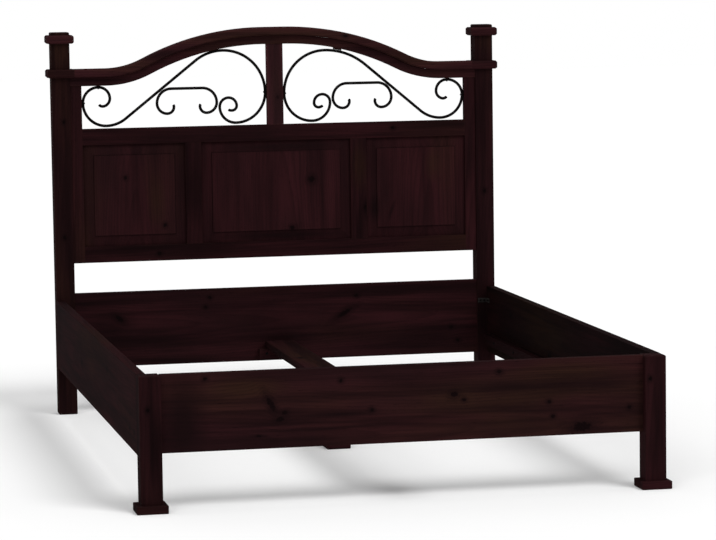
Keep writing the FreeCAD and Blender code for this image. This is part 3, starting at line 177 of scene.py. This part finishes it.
# node: ((along, across, pith across, pith through), tone)
BOARDS = {
    "foot_rail": (("X", "Z", 0.20, -1.16), 0.95),
    "head_board": (("X", "Z", 0.30, 0.90), 0.80),
    "side_rail_left": (("Y", "Z", 0.26, -0.65), 0.56),
    # side_rail_right's low tone is painted shade: the whole rail is darkened for the shade on its
    # inner face, inside the bed
    "side_rail_right": (("Y", "Z", 0.30, 0.65), 0.34),
    "panel_left": (("Z", "X", -0.50, 1.12), 0.94),
    "panel_centre": (("Z", "X", 0.03, 1.14), 0.92),
    "panel_right": (("Z", "X", 0.55, 1.12), 0.90),
    "panel_rail_upper": (("X", "Z", 0.90, 1.10), 0.72),
    "panel_rail_lower": (("X", "Z", 0.62, 1.10), 0.68),
    "panel_muntin_left": (("Z", "X", -0.27, 1.08), 0.66),
    "panel_muntin_right": (("Z", "X", 0.31, 1.08), 0.70),
    "outer_stile_left": (("Z", "X", -0.66, 1.08), 0.80),
    "outer_stile_right": (("Z", "X", 0.71, 1.08), 0.80),
    "centre_stile": (("Z", "X", 0.02, 1.09), 1.95),
    "head_post_left": (("Z", "X", -0.73, 1.06), 0.66),
    "head_post_right": (("Z", "X", 0.78, 1.05), 0.70),
    "foot_post_left": (("Z", "X", -0.74, -0.98), 0.60),
    "foot_post_right": (("Z", "X", 0.77, -0.98), 0.74),
    "centre_rail": (("Y", "X", 0.01, 0.16), 0.70),
    "centre_leg": (("Z", "X", 0.01, 0.06), 0.80),
    "slat_cleat_left": (("Y", "Z", 0.23, -0.70), 0.80),
    # slat_cleat_right's low tone is painted shade, the same as side_rail_right's
    "slat_cleat_right": (("Y", "Z", 0.20, 0.70), 0.34),
    "crest_cap": (("X", "Z", 1.15, 0.93), 1.15),
    "crest_rail": (("X", "Z", 1.10, 0.93), 1.05),
    "foot_plinth_left": (("X", "Z", 0.08, -0.96), 0.66),
    "foot_plinth_right": (("X", "Z", 0.09, -0.97), 0.80),
    "centre_leg_plinth": (("X", "Z", 0.06, 0.06), 0.80),
    "crest_collar_left": (("X", "Z", 1.25, 1.09), 0.80),
    "crest_collar_right": (("X", "Z", 1.26, 1.10), 0.80),
    "top_collar_left": (("X", "Z", 1.36, 1.09), 1.10),
    "top_collar_right": (("X", "Z", 1.35, 1.10), 1.00),
    "ledger_block_foot": (("X", "Z", 0.24, -0.94), 0.80),
    "ledger_block_head": (("X", "Z", 0.25, 1.08), 0.80),
    "scroll_spacer": (("X", "Z", 1.30, 1.06), 0.80),
}

# Ovals, in metres: (along, across, half length, half height, slant in degrees)
KNOTS = {
    "foot_rail": (
        (0.531, 0.194, 0.0225, 0.011, 4), (0.146, 0.304, 0.0080, 0.0065, 10),
        (0.175, 0.288, 0.0045, 0.0040, 0), (-0.191, 0.360, 0.0045, 0.0042, 0),
        (-0.100, 0.270, 0.0048, 0.0045, 0), (0.282, 0.366, 0.0060, 0.0042, -12),
        (0.432, 0.271, 0.0045, 0.0042, 0), (0.444, 0.227, 0.0048, 0.0040, 0),
        (0.678, 0.245, 0.0048, 0.0042, 0), (-0.398, 0.300, 0.0180, 0.0062, -62),
        (-0.372, 0.254, 0.0105, 0.0052, 15), (-0.358, 0.272, 0.0060, 0.0045, 20),
        (-0.589, 0.381, 0.0050, 0.0040, 0), (-0.434, 0.208, 0.0080, 0.0020, 0)),
    "head_board": (
        (0.280, 0.381, 0.0060, 0.0048, 0), (0.235, 0.320, 0.0230, 0.0062, 30),
        (0.623, 0.255, 0.0060, 0.0050, 0), (0.648, 0.207, 0.0055, 0.0045, 0),
        (-0.566, 0.328, 0.0130, 0.0060, -35), (-0.246, 0.392, 0.0050, 0.0042, 0),
        (-0.261, 0.359, 0.0048, 0.0040, 0)),
    "side_rail_left": (
        (-0.845, 0.221, 0.0070, 0.0050, 0), (-0.937, 0.219, 0.0060, 0.0048, 0),
        (-0.350, 0.330, 0.0090, 0.0060, 0), (0.300, 0.270, 0.0140, 0.0080, 8)),
    "side_rail_right": (
        (-0.620, 0.300, 0.0110, 0.0070, 0), (0.150, 0.250, 0.0130, 0.0080, -6),
        (0.660, 0.330, 0.0070, 0.0050, 0)),
    "panel_left": ((0.821, -0.534, 0.0050, 0.0042, 0), (0.652, -0.398, 0.0055, 0.0042, 0)),
    "panel_centre": ((0.798, 0.125, 0.0080, 0.0085, 0), (0.629, 0.054, 0.0055, 0.0065, 0)),
    "panel_rail_upper": ((-0.210, 0.923, 0.0055, 0.0042, 0), (0.420, 0.972, 0.0050, 0.0042, 0)),
    "panel_rail_lower": ((-0.420, 0.553, 0.0055, 0.0045, 0),),
    "panel_muntin_right": ((0.694, 0.318, 0.0060, 0.0045, 0),),
    "centre_stile": ((1.090, 0.008, 0.0050, 0.0038, 0),),
    "head_post_left": ((0.620, -0.752, 0.0065, 0.0045, 0), (1.020, -0.745, 0.0050, 0.0040, 0)),
    "head_post_right": ((0.740, 0.750, 0.0060, 0.0045, 0),),
    "foot_post_left": ((0.300, -0.760, 0.0050, 0.0040, 0),),
    "foot_post_right": ((0.330, 0.735, 0.0050, 0.0040, 0),),
    "centre_rail": ((-0.450, 0.020, 0.0090, 0.0060, 0), (0.500, -0.020, 0.0110, 0.0070, 0)),
    "crest_cap": ((-0.360, 1.225, 0.0060, 0.0045, 0), (0.250, 1.300, 0.0060, 0.0045, 0)),
}

# Ovals with a colour and a strength: most are stains, and a few are painted shade
STAINS_AND_SHADE = {
    "foot_rail": (
        (-0.470, 0.350, 0.110, 0.030, 0, BROWN, 0.8), (0.490, 0.350, 0.180, 0.032, 0, BROWN, 0.8),
        # The first oval below darkens the rail's left end, next to the post
        (-0.655, 0.250, 0.070, 0.150, 0, DARK, 0.85), (0.050, 0.230, 0.300, 0.030, 2, RED, 0.5),
        (0.560, 0.240, 0.180, 0.060, 0, RED, 0.5), (-0.190, 0.262, 0.110, 0.010, 1, DARK, 0.8)),
    "head_board": (
        (0.450, 0.360, 0.250, 0.040, 0, RED, 0.4),
        (0.250, 0.250, 0.120, 0.050, 0, DARK, 0.5),
        # Painted shade: the first oval below darkens the head board's lower right, inside the bed
        (0.520, 0.215, 0.240, 0.055, 0, DARK, 0.7), (-0.600, 0.300, 0.080, 0.070, 0, DARK, 0.5)),
    "panel_centre": (
        (0.915, 0.030, 0.018, 0.230, 0, DARK, 0.80), (0.604, 0.030, 0.016, 0.230, 0, DARK, 0.80),
        (0.740, 0.060, 0.100, 0.060, 0, RED, 0.5)),
    "panel_left": ((0.740, -0.430, 0.100, 0.030, 0, BROWN, 0.7),),
    "panel_right": (
        (0.690, 0.352, 0.050, 0.020, 0, DARK, 0.9), (0.680, 0.412, 0.045, 0.008, 20, DARK, 0.7),
        (0.840, 0.560, 0.060, 0.030, 0, BROWN, 0.6)),
    "panel_muntin_left": ((0.780, -0.290, 0.120, 0.040, 0, DARK, 0.6),),
    "panel_muntin_right": (
        (0.690, 0.325, 0.050, 0.018, 0, DARK, 0.9), (0.840, 0.300, 0.080, 0.030, 0, BROWN, 0.7)),
    "crest_cap": (
        (0.000, 1.300, 0.350, 0.030, 0, LIGHT, 0.8), (-0.520, 1.215, 0.160, 0.030, 0, LIGHT, 0.6),
        (0.500, 1.215, 0.160, 0.030, 0, BROWN, 0.6)),
    "crest_rail": ((0.000, 1.260, 0.300, 0.040, 0, BROWN, 0.7),),
    "centre_stile": ((1.120, 0.005, 0.120, 0.020, 0, LIGHT, 0.5),),
    "head_post_left": ((1.270, -0.752, 0.070, 0.060, 0, LIGHT, 0.9),),
    "head_post_right": (
        # Painted shade: the second oval below darkens the post's lower part
        (1.280, 0.752, 0.050, 0.060, 0, LIGHT, 0.5), (0.280, 0.750, 0.130, 0.070, 0, DARK, 0.8)),
    "foot_post_left": ((0.200, -0.740, 0.120, 0.022, 0, DARK, 0.7),),
    "panel_rail_upper": ((-0.300, 0.930, 0.160, 0.020, 0, DARK, 0.6),),
    "panel_rail_lower": ((-0.250, 0.560, 0.160, 0.020, 0, DARK, 0.6),),
}


def soft_oval(tree, run, wide, oval, size=1.0):
    """The distance from an oval's middle, with 1 at its edge, and the offset across.

    An oval is (along, across, half length, half height, slant in degrees), and size scales
    both halves."""
    k_run, k_wide, long, high, slant = oval
    long, high = long * size, high * size
    cos, sin = math.cos(math.radians(slant)), math.sin(math.radians(slant))
    du, dw = calc(tree, "SUBTRACT", run, k_run), calc(tree, "SUBTRACT", wide, k_wide)
    one = calc(tree, "MULTIPLY_ADD", du, cos / long, calc(tree, "MULTIPLY", dw, sin / long))
    two = calc(tree, "MULTIPLY_ADD", dw, cos / high, calc(tree, "MULTIPLY", du, -sin / high))
    square = calc(tree, "MULTIPLY_ADD", one, one, calc(tree, "MULTIPLY", two, two))
    return calc(tree, "SQRT", square), dw


def late_wood(tree, run, out, down):
    """How far a spot is into the dark part of its growth ring, from 0 to 1.

    Out and down are its distances from the pith across the board and through it."""
    radius = calc(tree, "SQRT", calc(tree, "MULTIPLY_ADD", out, out,
                                     calc(tree, "MULTIPLY", down, down)))
    radius = calc(tree, "MULTIPLY_ADD", run, GRAIN_SLOPE, radius)
    phase = calc(tree, "FRACT", calc(tree, "DIVIDE", radius, RING_WIDTH))
    return calc(tree, "MULTIPLY", spread(tree, phase, *LATE_WOOD),
                spread(tree, phase, *LATE_WOOD_END))


def stained_pine(name, grain, tone, seed, knots=(), stains_and_shade=(), panel=False):
    """Dark stained pine with growth rings, fibres, streaks, pitch canals and knots.

    The grain is (along, across, pith across, pith through): the rings run round the pith and
    part round each knot. Knots are ovals; stains are ovals with a colour and a strength, and a
    few of them are painted shade. A panel has less contrast, painted shade on its slopes, and
    dark edges round its field that are partly stain caught in the crease and partly painted
    shade."""
    along, across, pith_wide, pith_deep = grain
    contrast = PANEL_CONTRAST if panel else 1.0
    material, tree, shader = new_tree(name)
    split = tree.nodes.new("ShaderNodeSeparateXYZ")
    tree.links.new(position(tree), split.inputs[0])
    through = next(axis for axis in "XYZ" if axis not in (along, across))
    run, wide, deep = (split.outputs[axis] for axis in (along, across, through))
    place = add(tree, "CombineXYZ", run, wide, deep)
    cut = vector(tree, "ADD", place, [seed * step for step in SEED_SHIFT])

    def grained(lengthwise, sideways, detail, rough):
        """A noise stretched along the grain, which differs from board to board."""
        stretched = vector(tree, "MULTIPLY", cut, (lengthwise, sideways, sideways))
        return noise(tree, stretched, 1.0, detail, rough)

    def toned(colour):
        return (*(part * tone for part in colour), 1)

    def stain_and_shade(colour, tint, strength, pattern, low=0.0, high=1.0):
        """Lays a tint over a colour, more as the pattern goes from low to high; it draws stains,
        grain and knots, and painted shade too.
        """
        share = spread(tree, pattern, low, high, 0.0, strength)
        return blend_colour(tree, share, colour, toned(tint))

    # The knots part the rings
    bend, nearest = wide, None
    for oval in knots:
        distance, offset = soft_oval(tree, run, wide, oval, KNOT_SIZE)
        softened = calc(tree, "MULTIPLY_ADD", distance, distance, KNOT_SOFTENER)
        push = calc(tree, "DIVIDE", KNOT_PUSH, softened)
        bend = calc(tree, "SUBTRACT", bend, calc(tree, "MULTIPLY", offset, push))
        nearest = distance if nearest is None else calc(tree, "MINIMUM", nearest, distance)
    wobble = spread(tree, grained(*WOBBLE), 0.2, 0.8, -RING_WOBBLE, RING_WOBBLE)
    out = calc(tree, "SUBTRACT", calc(tree, "ADD", bend, wobble), pith_wide)
    late = late_wood(tree, run, out, calc(tree, "SUBTRACT", deep, pith_deep))

    # The ground colour, its stains and painted shade, and the dark lines over them
    fibres, streaks, broad = grained(*FIBRES), grained(*STREAKS), grained(*BROAD_STREAKS)
    canals = spread(tree, grained(*PITCH_CANALS), 0.70, 0.76)
    colour = stain_and_shade(toned(RED), BROWN, 1.0, grained(*TINTS), 0.50, 0.68)
    colour = stain_and_shade(colour, MIDDLE, 1.0, grained(*CLOUDS), 0.66, 0.32)
    for *oval, tint, strength in stains_and_shade:
        distance, _ = soft_oval(tree, run, wide, oval)
        frayed = calc(tree, "MULTIPLY_ADD", broad, STAIN_FRAY, distance)
        colour = stain_and_shade(colour, tint, strength, frayed, 1.75, 0.85)
    colour = stain_and_shade(colour, DARK, 0.80 * contrast, broad, 0.46, 0.68)
    colour = stain_and_shade(colour, DARK, 0.72 * contrast, streaks, 0.49, 0.72)
    colour = stain_and_shade(colour, DARK, 0.28, late)
    colour = stain_and_shade(colour, DARK, 0.40, fibres, 0.5, 0.8)
    colour = stain_and_shade(colour, KNOT, 0.70, canals)
    heights = [(late, 0.5), (fibres, 0.6), (canals, -0.4)]

    # The knots' own wood: a dark halo, rings, a darker rim and cracks
    if knots:
        ragged = spread(tree, noise(tree, place, *RAGGED_EDGE), 0.25, 0.75, -0.45, 0.45)
        edge = calc(tree, "ADD", nearest, ragged)
        inside = spread(tree, edge, 1.05, 0.75)
        growth = calc(tree, "FRACT", calc(tree, "MULTIPLY", edge, KNOT_RINGS))
        core = stain_and_shade(toned(KNOT), DARK, 0.70, growth)
        core = stain_and_shade(core, KNOT, 0.80, edge, 0.70, 0.92)
        colour = stain_and_shade(colour, DARK, 0.65, edge, 2.9, 1.0)
        colour = blend_colour(tree, inside, colour, core)
        cracks = spread(tree, noise(tree, place, *CRACKS), 0.488, 0.497)
        heights += [(inside, -0.5), (calc(tree, "MULTIPLY", cracks, inside), -0.4)]

    # Worn edges: the bevelled normal turns away from the flat one next to an edge
    bevel = tree.nodes.new("ShaderNodeBevel")
    bevel.samples = BEVEL_SAMPLES
    bevel.inputs["Radius"].default_value = EDGE_WEAR
    normal = tree.nodes.new("ShaderNodeNewGeometry").outputs["Normal"]
    flat = dot(tree, bevel.outputs[0], normal)
    worn = calc(tree, "MULTIPLY", spread(tree, flat, 0.985, 0.90, 0.0, 0.45),
                spread(tree, grained(*WEAR), 0.42, 0.62))
    colour = blend_colour(tree, worn, colour, toned(WORN))

    if panel:
        # Painted shade on the field's slopes, which turn away from the front
        level = calc(tree, "ABSOLUTE", dot(tree, normal, PANEL_AXIS))
        colour = stain_and_shade(colour, DARK, 0.36, level, 0.9995, 0.985)
        # Dark edges and creases round the field: partly stain caught in the crease, partly
        # painted shade
        colour = stain_and_shade(colour, KNOT, 0.80, flat, 0.998, 0.94)

    height = 0.0
    for pattern, part in heights:
        height = calc(tree, "MULTIPLY_ADD", pattern, part, height)
    plug(tree, shader.inputs["Base Color"], colour)
    satin(tree, shader, streaks, *PINE_ROUGHNESS)
    shader.inputs["Specular IOR Level"].default_value = PINE_SPECULAR
    relief(tree, shader, height, GRAIN_STRENGTH, GRAIN_DEPTH)
    return material


for seed, (name, (grain, tone)) in enumerate(sorted(BOARDS.items()), 1):
    dress(name, stained_pine("pine_" + name, grain, tone, seed, KNOTS.get(name, ()),
                             STAINS_AND_SHADE.get(name, ()), name in PANELS))


# Iron, steel and beech

METAL_ROUGHNESS = (0.50, 0.66)
METAL_RELIEF = 0.4
# Detail and roughness of the mottles and of the grit, which is so much finer and weaker
MOTTLES = (4.0, 0.6)
GRIT = (3.0, 0.6)
GRIT_SCALE = 15
GRIT_SHARE = 0.2

BEECH_DARK = (0.42, 0.26, 0.14, 1)
BEECH_PALE = (0.55, 0.36, 0.20, 1)
BEECH_ROUGHNESS = (0.55, 0.7)
# Flecks per metre, detail and roughness; how much the axes squeeze them; relief and metres
BEECH_FLECKS = (300.0, 3.0, 0.5)
BEECH_SQUEEZE = (1.0, 1.0, 0.3)
BEECH_RELIEF = (0.3, 0.0003)


def metal(name, dark, pale, scale, depth, specular, metallic):
    """A mottled metal; scale is its mottles per metre, and depth its relief in metres."""
    material, tree, shader = new_tree(name)
    place = position(tree)
    mottle = noise(tree, place, scale, *MOTTLES)
    grit = noise(tree, place, scale * GRIT_SCALE, *GRIT)
    plug(tree, shader.inputs["Base Color"],
         blend_colour(tree, spread(tree, mottle, *NOISE_RANGE), (*dark, 1), (*pale, 1)))
    satin(tree, shader, mottle, *METAL_ROUGHNESS)
    shader.inputs["Specular IOR Level"].default_value = specular
    shader.inputs["Metallic"].default_value = metallic
    height = calc(tree, "MULTIPLY_ADD", grit, GRIT_SHARE, mottle)
    relief(tree, shader, height, METAL_RELIEF, depth)
    return material


def beech():
    material, tree, shader = new_tree("beech")
    squeezed = vector(tree, "MULTIPLY", position(tree), BEECH_SQUEEZE)
    fleck = noise(tree, squeezed, *BEECH_FLECKS)
    plug(tree, shader.inputs["Base Color"], blend_colour(tree, fleck, BEECH_DARK, BEECH_PALE))
    plug(tree, shader.inputs["Roughness"],
         spread(tree, fleck, *NOISE_RANGE, *BEECH_ROUGHNESS))
    relief(tree, shader, fleck, *BEECH_RELIEF)
    return material


BLACK_IRON = metal("black_iron", dark=(0.0018, 0.0013, 0.0014), pale=(0.0050, 0.0038, 0.0038),
                   scale=60.0, depth=0.0004, specular=0.03, metallic=0.0)
DULL_STEEL = metal("dull_steel", dark=(0.013, 0.011, 0.011), pale=(0.032, 0.028, 0.027),
                   scale=220.0, depth=0.0001, specular=0.5, metallic=1.0)
# The first word that a node's name holds gives its finish
FINISHES = {"corner_brace": DULL_STEEL, "dowels": beech(), "screws": BLACK_IRON,
            "scroll": BLACK_IRON}
for name in nodes:
    if name not in BOARDS:
        dress(name, next(finish for word, finish in FINISHES.items() if word in name))


# Floor, light and camera

FLOOR_HALF = 30.0
FLOOR_COLOUR = (0.94, 0.94, 0.94, 1)
FLOOR_ROUGHNESS = 0.9
WORLD_LIGHT = 0.45

# (angle from the front toward +X, elevation, width, all in degrees, and strength)
SUNS = {"key": (35, 50, 25, 1.43), "fill": (-35, 40, 30, 0.50), "top": (0, 88, 35, 0.60)}

# The place and the clip are in metres, the angles in radians, the rest in millimetres
CAMERA_PLACE = (-2.01343, -10.07880, 1.60732)
YAW, PITCH, ROLL = 0.204736, 0.100098, -0.014114
SENSOR_WIDTH, LENS = 36.0, 161.442
CLIP_END = 100.0


def link(name, data):
    item = bpy.data.objects.new(name, data)
    bpy.context.collection.objects.link(item)
    return item


mesh = bpy.data.meshes.new("floor")
mesh.from_pydata([(x * FLOOR_HALF, y * FLOOR_HALF, 0)
                  for x, y in ((-1, -1), (1, -1), (1, 1), (-1, 1))], [], [(0, 1, 2, 3)])
floor = link("floor", mesh)
material, tree, shader = new_tree("pale_floor")
shader.inputs["Base Color"].default_value = FLOOR_COLOUR
shader.inputs["Roughness"].default_value = FLOOR_ROUGHNESS
shader.inputs["Specular IOR Level"].default_value = 0.0
mesh.materials.append(material)

# The world lights the bed softly, and is white where the camera or a gloss looks at it
world = bpy.data.worlds.new("studio")
world.use_nodes = True
bpy.context.scene.world = world
tree = world.node_tree
background = tree.nodes["Background"]
background.inputs["Color"].default_value = (1, 1, 1, 1)
rays = tree.nodes.new("ShaderNodeLightPath").outputs
seen = calc(tree, "MAXIMUM", rays["Is Camera Ray"], rays["Is Glossy Ray"])
seen = calc(tree, "MAXIMUM", seen, rays["Is Transmission Ray"])
tree.links.new(spread(tree, seen, 0.0, 1.0, WORLD_LIGHT, 1.0), background.inputs["Strength"])

for name, (side, height, width, strength) in SUNS.items():
    lamp = bpy.data.lights.new(name, "SUN")
    lamp.angle, lamp.energy = math.radians(width), strength
    side, height = math.radians(side), math.radians(height)
    toward = Vector((math.sin(side) * math.cos(height), -math.cos(side) * math.cos(height),
                     math.sin(height)))
    link(name, lamp).rotation_euler = (-toward).to_track_quat("-Z", "Y").to_euler()

lens = bpy.data.cameras.new("camera")
lens.sensor_width, lens.lens, lens.clip_end = SENSOR_WIDTH, LENS, CLIP_END
camera = link("camera", lens)
turn = (Matrix.Rotation(-YAW, 4, "Z") @ Matrix.Rotation(math.pi / 2 - PITCH, 4, "X")
        @ Matrix.Rotation(ROLL, 4, "Z"))
camera.matrix_world = Matrix.Translation(CAMERA_PLACE) @ turn
bpy.context.scene.camera = camera
bpy.context.scene.view_settings.view_transform = "Standard"
